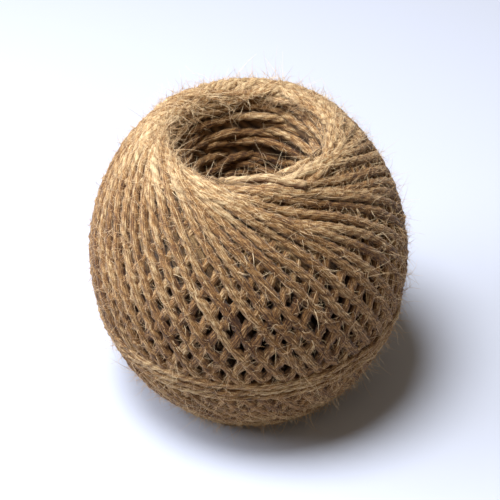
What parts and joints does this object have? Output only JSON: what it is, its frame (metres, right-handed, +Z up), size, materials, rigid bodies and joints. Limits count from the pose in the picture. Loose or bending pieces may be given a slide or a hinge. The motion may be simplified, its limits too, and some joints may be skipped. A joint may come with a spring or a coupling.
{
  "type": "ball of twine",
  "caption": "Cross-wound ball of natural jute twine with a pull hole through its middle and a belt of finishing turns.",
  "frame": {"origin": "middle of the flattened ring that the ball stands on, on the axis of the pull hole", "axes": "+Z up along the pull hole; X and Y level, with a crossing of the winding on +X at the waist"},
  "size_m": [0.08, 0.08, 0.0756],
  "materials": {
    "jute": "dry, matt, hairy natural jute, spun in three plies"
  },
  "bodies": {
    "root": {"twine_ball": "jute"}
  },
  "joints": []
}
